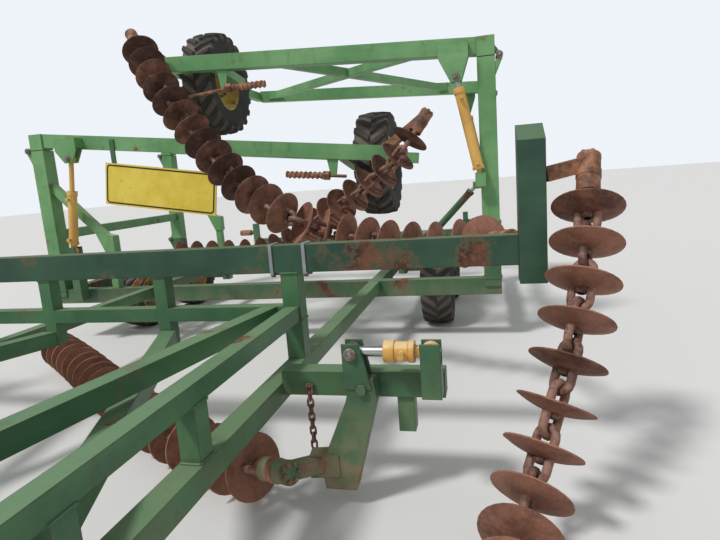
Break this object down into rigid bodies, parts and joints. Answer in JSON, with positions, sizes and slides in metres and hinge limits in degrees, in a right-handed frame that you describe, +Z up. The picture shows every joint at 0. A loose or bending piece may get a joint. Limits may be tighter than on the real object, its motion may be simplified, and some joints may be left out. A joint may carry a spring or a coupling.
{
  "type": "folding disc-chain harrow",
  "caption": "Towed harrow with a trussed drawbar, wings folded over a wheeled centre frame, and chains of dished discs.",
  "frame": {"origin": "on the ground, half-way along the machine and on its middle line", "axes": "+Y towards the rear, +Z up, +X to the right seen by someone who faces the machine from its hitch"},
  "size_m": [5.7821, 12.7, 3.16],
  "materials": {
    "green_paint": "weathered, rust at edges",
    "bare_steel": "dull",
    "rusty_steel": "rusty",
    "ram_paint": "weathered",
    "rod_chrome": "polished",
    "rim_paint": "weathered",
    "tyre_rubber": "dusty",
    "sign_paint": "satin"
  },
  "bodies": {
    "frame": {"hitch": "green_paint", "side_truss_right": "green_paint", "side_truss_left": "green_paint", "cross_ties": "green_paint", "drawbar_legs": "green_paint", "drawbar_braces": "green_paint", "front_beam": "green_paint", "end_arms": "green_paint", "centre_frame": "green_paint", "rear_beam": "green_paint", "left_posts": "green_paint", "left_wing_frame": "green_paint", "left_ram_stand": "green_paint", "sign_hangers": "green_paint", "tension_bracket": "green_paint", "wheel_arms": "green_paint", "beam_straps": "bare_steel", "front_chain_right": "rusty_steel", "front_chain_left": "rusty_steel", "right_wing_chain": "rusty_steel", "left_wing_chain": "rusty_steel", "ground_chain": "rusty_steel", "front_swivels": "rusty_steel", "rear_swivels": "rusty_steel", "left_wing_swivel": "rusty_steel", "chain_anchors": "rusty_steel", "left_ram": "ram_paint", "sign_board": "sign_paint"},
    "right_link": {"right_posts": "green_paint"},
    "right_wing": {"right_wing_frame": "green_paint", "right_wing_swivel": "rusty_steel"},
    "wing_ram_barrels": {"wing_ram_barrels": "ram_paint"},
    "wing_ram_rods": {"wing_ram_rods": "rod_chrome"},
    "link_ram_barrel": {"link_ram_barrel": "ram_paint"},
    "link_ram_rod": {"link_ram_rod": "rod_chrome"},
    "tension_arm": {"tension_arm": "green_paint"},
    "tension_ram_barrel": {"tension_ram_barrel": "ram_paint"},
    "tension_ram_rod": {"tension_ram_rod": "rod_chrome"},
    "jack": {"jack_leg": "bare_steel"},
    "front_right_wheel": {"front_right_tyre": "tyre_rubber", "front_right_rim": "rim_paint"},
    "rear_right_wheel": {"rear_right_tyre": "tyre_rubber", "rear_right_rim": "rim_paint"},
    "front_left_wheel": {"front_left_tyre": "tyre_rubber", "front_left_rim": "rim_paint"},
    "rear_left_wheel": {"rear_left_tyre": "tyre_rubber", "rear_left_rim": "rim_paint"},
    "right_wing_wheel": {"right_wing_tyre": "tyre_rubber", "right_wing_rim": "rim_paint"},
    "left_wing_wheel": {"left_wing_tyre": "tyre_rubber", "left_wing_rim": "rim_paint"}
  },
  "joints": [
    {"name": "right_link_fold", "type": "hinge", "parent": "frame", "child": "right_link", "pos_m": [2.411, 3.15, 0.85], "axis": [0, 1, 0], "range_deg": [0, 90]},
    {"name": "right_wing_fold", "type": "hinge", "parent": "right_link", "child": "right_wing", "pos_m": [2.411, 3.15, 2.48], "axis": [0, 1, 0], "range_deg": [0, 90]},
    {"name": "wing_ram_pivot", "type": "hinge", "parent": "right_link", "child": "wing_ram_barrels", "pos_m": [2.225, 3.15, 1.48], "axis": [0, 1, 0], "range_deg": [0, 13.2]},
    {"name": "wing_ram_stroke", "type": "slide", "parent": "wing_ram_barrels", "child": "wing_ram_rods", "axis": [-0.2017, 0, 0.9795], "range_m": [0, 0.4945]},
    {"name": "link_ram_pivot", "type": "hinge", "parent": "frame", "child": "link_ram_barrel", "pos_m": [1.5, 4.22, 0.7], "axis": [0, 1, 0], "range_deg": [0, 28.9]},
    {"name": "link_ram_stroke", "type": "slide", "parent": "link_ram_barrel", "child": "link_ram_rod", "axis": [0.7016, 0, 0.7126], "range_m": [0, 0.561]},
    {"name": "tension_arm_swing", "type": "hinge", "parent": "frame", "child": "tension_arm", "pos_m": [1.69, -0.73, 0.6], "axis": [0, -1, 0], "range_deg": [0, 15]},
    {"name": "tension_ram_pivot", "type": "hinge", "parent": "frame", "child": "tension_ram_barrel", "pos_m": [2.01, -0.73, 0.77], "axis": [0, -1, 0], "range_deg": [0, 2.4]},
    {"name": "tension_ram_stroke", "type": "slide", "parent": "tension_ram_barrel", "child": "tension_ram_rod", "axis": [-1, 0, 0], "range_m": [0, 0.0432]},
    {"name": "jack_lift", "type": "slide", "parent": "frame", "child": "jack", "axis": [0, 0, 1], "range_m": [0, 0.28]},
    {"name": "front_right_wheel_spin", "type": "hinge", "parent": "frame", "child": "front_right_wheel", "pos_m": [1.745, 2.55, 0.39], "axis": [1, 0, 0], "continuous": true},
    {"name": "rear_right_wheel_spin", "type": "hinge", "parent": "frame", "child": "rear_right_wheel", "pos_m": [1.745, 3.65, 0.39], "axis": [1, 0, 0], "continuous": true},
    {"name": "front_left_wheel_spin", "type": "hinge", "parent": "frame", "child": "front_left_wheel", "pos_m": [-1.745, 2.55, 0.39], "axis": [1, 0, 0], "continuous": true},
    {"name": "rear_left_wheel_spin", "type": "hinge", "parent": "frame", "child": "rear_left_wheel", "pos_m": [-1.745, 3.65, 0.39], "axis": [1, 0, 0], "continuous": true},
    {"name": "right_wing_wheel_spin", "type": "hinge", "parent": "right_wing", "child": "right_wing_wheel", "pos_m": [-0.509, 2.57, 2.64], "axis": [1, 0, 0], "continuous": true},
    {"name": "left_wing_wheel_spin", "type": "hinge", "parent": "frame", "child": "left_wing_wheel", "pos_m": [1.195, 2.6, 1.68], "axis": [1, 0, 0], "continuous": true}
  ],
  "couplings": [
    {"joint": "wing_ram_pivot", "follows": "right_wing_fold", "ratio": 0.1461},
    {"joint": "wing_ram_stroke", "follows": "right_wing_fold", "m_per_rad": 0.31427},
    {"joint": "link_ram_pivot", "follows": "right_link_fold", "ratio": 0.32034},
    {"joint": "link_ram_stroke", "follows": "right_link_fold", "m_per_rad": 0.35668},
    {"joint": "tension_ram_pivot", "follows": "tension_arm_swing", "ratio": 0.15309},
    {"joint": "tension_ram_stroke", "follows": "tension_arm_swing", "m_per_rad": 0.16409}
  ]
}
